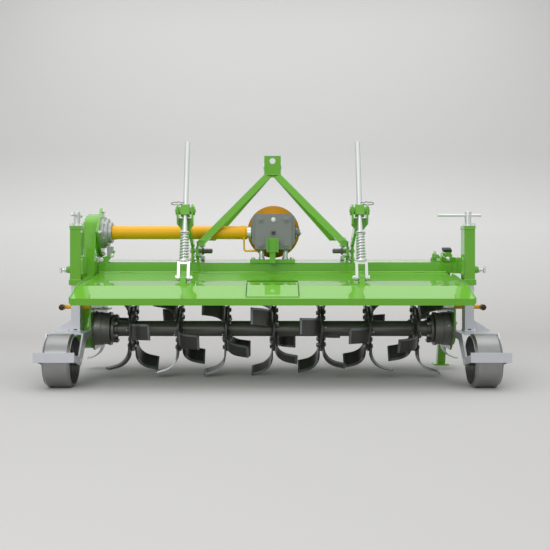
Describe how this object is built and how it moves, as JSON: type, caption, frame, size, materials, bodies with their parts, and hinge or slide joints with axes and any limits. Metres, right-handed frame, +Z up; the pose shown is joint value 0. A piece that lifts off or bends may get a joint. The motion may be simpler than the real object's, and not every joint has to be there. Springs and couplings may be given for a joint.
{
  "type": "tractor-mounted rotavator",
  "caption": "Three-point rotary tiller with side chain drive, bladed rotor, hinged tailboard on spring rods, gauge wheels on screw legs and a sliding parking stand.",
  "frame": {"origin": "on the ground, at the middle of the machine's outline seen from above", "axes": "+X to the machine's right, +Y the way it travels, +Z up"},
  "size_m": [2.266, 1.0256, 1.2495],
  "materials": {
    "green_paint": "gloss",
    "grey_paint": "satin",
    "zinc": "satin",
    "silver_paint": "satin",
    "dark_steel": "satin",
    "blade_steel": "satin",
    "wheel_steel": "satin",
    "yellow_plastic": "satin",
    "yellow_paint": "gloss"
  },
  "bodies": {
    "frame": {"side_plate_left": "green_paint", "side_plate_right": "green_paint", "bearing_drum_left": "dark_steel", "bearing_drum_right": "dark_steel", "wheel_post_left": "green_paint", "wheel_post_right": "green_paint", "bearing_shields": "silver_paint", "hitch_plates": "green_paint", "lower_hitch_pins": "dark_steel", "rod_arms": "green_paint", "jack_handles": "zinc", "clamp_screws": "zinc", "guard_bars": "yellow_paint", "skids": "silver_paint", "deck": "green_paint", "rear_beam": "green_paint", "headstock": "green_paint", "hood_hinge": "green_paint", "gearbox": "grey_paint", "gearbox_cover": "grey_paint", "gearbox_stand": "green_paint", "centre_bracket": "green_paint", "pto_guard": "yellow_plastic", "cross_shaft_guard": "yellow_plastic", "cross_shaft_coupling": "zinc", "rod_hook": "yellow_paint", "chain_case": "green_paint", "case_cap": "green_paint", "case_flanges": "grey_paint", "stand_sleeve": "green_paint"},
    "hood_body": {"hood": "green_paint", "hood_lugs": "green_paint"},
    "rotor": {"rotor_shaft": "dark_steel", "blade_flanges": "blade_steel"},
    "input_shaft": {"pto_shaft": "dark_steel"},
    "stand_body": {"parking_stand": "green_paint"},
    "head_left": {"swivel_head_left": "green_paint"},
    "rod_left": {"spring_rod_left": "zinc", "spring_left": "zinc"},
    "leg_left": {"wheel_leg_left": "silver_paint", "wheel_fork_left": "silver_paint", "wheel_scraper_left": "silver_paint"},
    "gauge_wheel_left": {"wheel_left": "wheel_steel"},
    "head_right": {"swivel_head_right": "green_paint"},
    "rod_right": {"spring_rod_right": "zinc", "spring_right": "zinc"},
    "leg_right": {"wheel_leg_right": "silver_paint", "wheel_fork_right": "silver_paint", "wheel_scraper_right": "silver_paint"},
    "gauge_wheel_right": {"wheel_right": "wheel_steel"}
  },
  "joints": [
    {"name": "hood_lift", "type": "hinge", "parent": "frame", "child": "hood_body", "pos_m": [0, 0.12425, 0.548], "axis": [-1, 0, 0], "range_deg": [0, 14]},
    {"name": "rotor_spin", "type": "hinge", "parent": "frame", "child": "rotor", "pos_m": [0, 0.02025, 0.252], "axis": [-1, 0, 0], "continuous": true},
    {"name": "input_spin", "type": "hinge", "parent": "frame", "child": "input_shaft", "pos_m": [0.005, 0.34025, 0.767], "axis": [0, -1, 0], "continuous": true},
    {"name": "stand_slide", "type": "slide", "parent": "frame", "child": "stand_body", "axis": [0, -0.2658, 0.964], "range_m": [0, 0.25]},
    {"name": "head_left_swivel", "type": "hinge", "parent": "frame", "child": "head_left", "pos_m": [-0.454, -0.08575, 0.875], "axis": [-1, 0, 0], "range_deg": [0, 4]},
    {"name": "rod_left_slide", "type": "slide", "parent": "head_left", "child": "rod_left", "axis": [0, 0.2954, 0.9554], "range_m": [0, 0.076]},
    {"name": "leg_left_height", "type": "slide", "parent": "frame", "child": "leg_left", "axis": [0, 0, 1], "range_m": [-0.1, 0.09]},
    {"name": "wheel_left_spin", "type": "hinge", "parent": "leg_left", "child": "gauge_wheel_left", "pos_m": [-1.035, -0.35575, 0.13], "axis": [-1, 0, 0], "continuous": true},
    {"name": "head_right_swivel", "type": "hinge", "parent": "frame", "child": "head_right", "pos_m": [0.454, -0.08575, 0.875], "axis": [-1, 0, 0], "range_deg": [0, 4]},
    {"name": "rod_right_slide", "type": "slide", "parent": "head_right", "child": "rod_right", "axis": [0, 0.2954, 0.9554], "range_m": [0, 0.076]},
    {"name": "leg_right_height", "type": "slide", "parent": "frame", "child": "leg_right", "axis": [0, 0, 1], "range_m": [-0.1, 0.09]},
    {"name": "wheel_right_spin", "type": "hinge", "parent": "leg_right", "child": "gauge_wheel_right", "pos_m": [1.035, -0.35575, 0.13], "axis": [-1, 0, 0], "continuous": true}
  ],
  "couplings": [
    {"joint": "input_spin", "follows": "rotor_spin", "ratio": 2.45},
    {"joint": "head_left_swivel", "follows": "hood_lift", "ratio": 0.27},
    {"joint": "rod_left_slide", "follows": "hood_lift", "m_per_rad": 0.304},
    {"joint": "head_right_swivel", "follows": "hood_lift", "ratio": 0.27},
    {"joint": "rod_right_slide", "follows": "hood_lift", "m_per_rad": 0.304}
  ]
}
